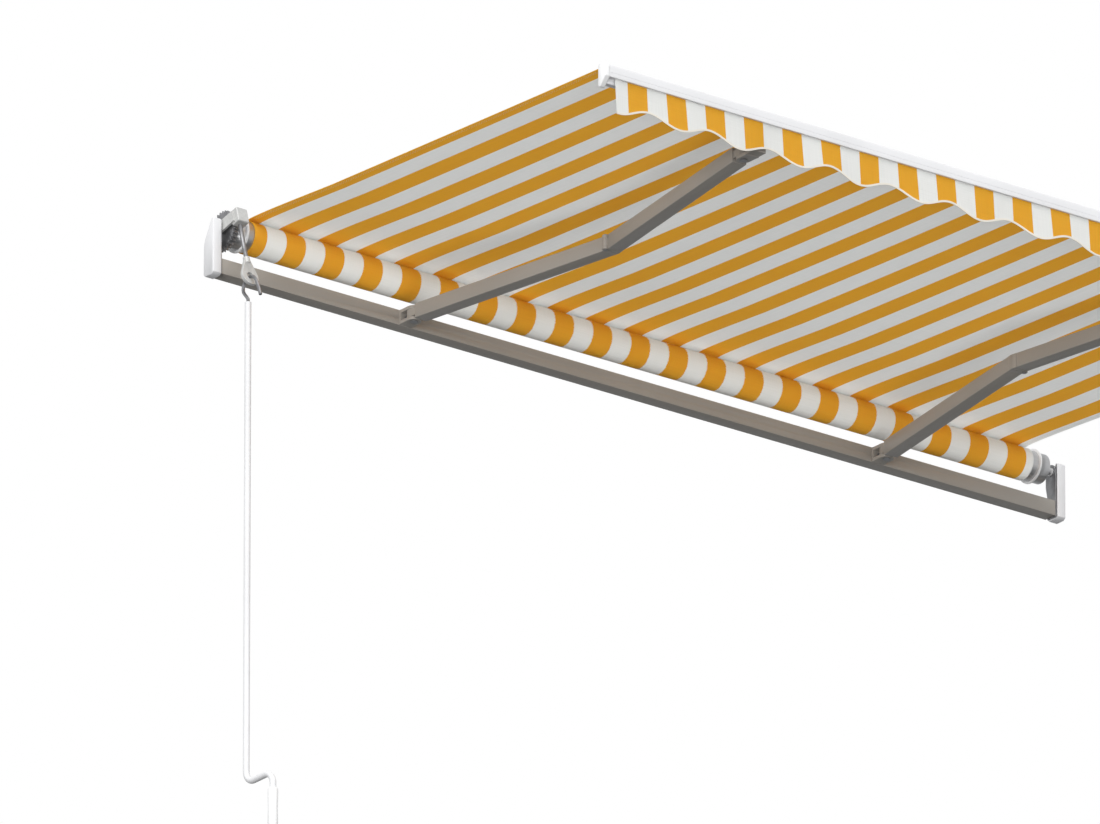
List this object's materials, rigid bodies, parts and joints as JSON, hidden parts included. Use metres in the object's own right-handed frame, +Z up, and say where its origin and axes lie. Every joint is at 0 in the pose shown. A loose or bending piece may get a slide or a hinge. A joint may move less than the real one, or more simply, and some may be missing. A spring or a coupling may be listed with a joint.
{
  "type": "retractable folding-arm awning",
  "caption": "Wall-mounted retractable awning: striped cloth on a roller, folding arms on a square torsion bar, front bar with a scalloped valance, worm gear and hand crank.",
  "frame": {"origin": "centre of the middle wall bracket's back face, where it meets the wall", "axes": "+X along the wall, to the right seen from in front; +Y into the wall; +Z up. The awning is drawn out towards -Y."},
  "size_m": [2.976, 1.6813, 1.9004],
  "materials": {
    "taupe_paint": "taupe powder coat, satin",
    "white_paint": "white powder coat, satin",
    "white_plastic": "moulded, satin",
    "zinc_steel": "zinc plated",
    "aluminium": "extruded, mill finish",
    "grey_casting": "die cast, light grey",
    "canvas": "woven canvas, orange-yellow and off-white stripes"
  },
  "bodies": {
    "root": {"torsion_bar": "taupe_paint", "wall_bracket_left": "taupe_paint", "wall_bracket_centre": "taupe_paint", "wall_bracket_right": "taupe_paint", "bracket_bolt_left": "zinc_steel", "bracket_bolt_centre": "zinc_steel", "bracket_bolt_right": "zinc_steel", "side_plate_left": "zinc_steel", "side_cover_left": "white_paint", "roller_bush_left": "white_plastic", "shoulder_bracket_left": "taupe_paint", "shoulder_bolt_left": "zinc_steel", "shoulder_pin_left": "zinc_steel", "side_plate_right": "zinc_steel", "side_cover_right": "white_paint", "roller_bush_right": "white_plastic", "shoulder_bracket_right": "taupe_paint", "shoulder_bolt_right": "zinc_steel", "shoulder_pin_right": "zinc_steel", "worm_housing": "grey_casting", "canopy": "canvas"},
    "roller": {"roller_tube": "aluminium", "roller_plug_left": "aluminium", "roller_plug_right": "aluminium", "worm_wheel": "zinc_steel", "cloth_roll": "canvas"},
    "worm": {"worm_shaft": "zinc_steel", "shaft_eye": "grey_casting"},
    "crank": {"crank_hook": "zinc_steel", "crank_rod": "white_paint"},
    "crank_grip": {"crank_grip": "white_plastic"},
    "front_bar": {"front_bar": "white_paint", "valance": "canvas", "front_bar_cap_left": "white_plastic", "front_bracket_left": "taupe_paint", "front_pin_left": "zinc_steel", "front_bar_cap_right": "white_plastic", "front_bracket_right": "taupe_paint", "front_pin_right": "zinc_steel"},
    "upper_arm_left": {"upper_arm_tube_left": "taupe_paint", "upper_arm_shoulder_end_left": "taupe_paint", "elbow_fork_left": "taupe_paint", "elbow_pin_left": "zinc_steel", "arm_spring_left": "zinc_steel", "arm_cable_left": "zinc_steel"},
    "forearm_left": {"forearm_tube_left": "taupe_paint", "elbow_knuckle_left": "taupe_paint", "forearm_front_end_left": "taupe_paint"},
    "upper_arm_right": {"upper_arm_tube_right": "taupe_paint", "upper_arm_shoulder_end_right": "taupe_paint", "elbow_fork_right": "taupe_paint", "elbow_pin_right": "zinc_steel", "arm_spring_right": "zinc_steel", "arm_cable_right": "zinc_steel"},
    "forearm_right": {"forearm_tube_right": "taupe_paint", "elbow_knuckle_right": "taupe_paint", "forearm_front_end_right": "taupe_paint"}
  },
  "joints": [
    {"name": "shoulder_left", "type": "hinge", "parent": "root", "child": "upper_arm_left", "pos_m": [-0.825, -0.125, -0.031], "axis": [0, 0, 1], "range_deg": [0, 79], "deforming": ["canopy"]},
    {"name": "elbow_left", "type": "hinge", "parent": "upper_arm_left", "child": "forearm_left", "pos_m": [-0.72921, -0.8575, -0.031], "axis": [0, 0, 1], "range_deg": [-158, 0]},
    {"name": "front_pivot_left", "type": "hinge", "parent": "forearm_left", "child": "front_bar", "pos_m": [-0.825, -1.59, -0.031], "axis": [0, 0, 1], "range_deg": [0, 79]},
    {"name": "shoulder_right", "type": "hinge", "parent": "root", "child": "upper_arm_right", "pos_m": [0.825, -0.125, -0.031], "axis": [0, 0, 1], "range_deg": [-79, 0]},
    {"name": "elbow_right", "type": "hinge", "parent": "upper_arm_right", "child": "forearm_right", "pos_m": [0.72921, -0.8575, -0.031], "axis": [0, 0, 1], "range_deg": [0, 158]},
    {"name": "worm_spin", "type": "hinge", "parent": "root", "child": "worm", "pos_m": [-1.431, -0.1283, 0.1009], "axis": [0, -0.2588, -0.9659], "continuous": true},
    {"name": "roller_spin", "type": "hinge", "parent": "root", "child": "roller", "pos_m": [0, -0.063, 0.0834], "axis": [1, 0, 0], "continuous": true},
    {"name": "crank_swing", "type": "hinge", "parent": "worm", "child": "crank", "pos_m": [-1.431, -0.18368, -0.10581], "axis": [1, 0, 0], "range_deg": [-40, 5]},
    {"name": "grip_spin", "type": "hinge", "parent": "crank", "child": "crank_grip", "pos_m": [-1.431, -0.292, -1.679], "axis": [0, 0, 1], "continuous": true}
  ],
  "couplings": [
    {"joint": "elbow_left", "follows": "shoulder_left", "ratio": -2},
    {"joint": "front_pivot_left", "follows": "shoulder_left", "ratio": 1},
    {"joint": "shoulder_right", "follows": "shoulder_left", "ratio": -1},
    {"joint": "elbow_right", "follows": "shoulder_left", "ratio": 2},
    {"joint": "roller_spin", "follows": "worm_spin", "ratio": -0.033333}
  ]
}
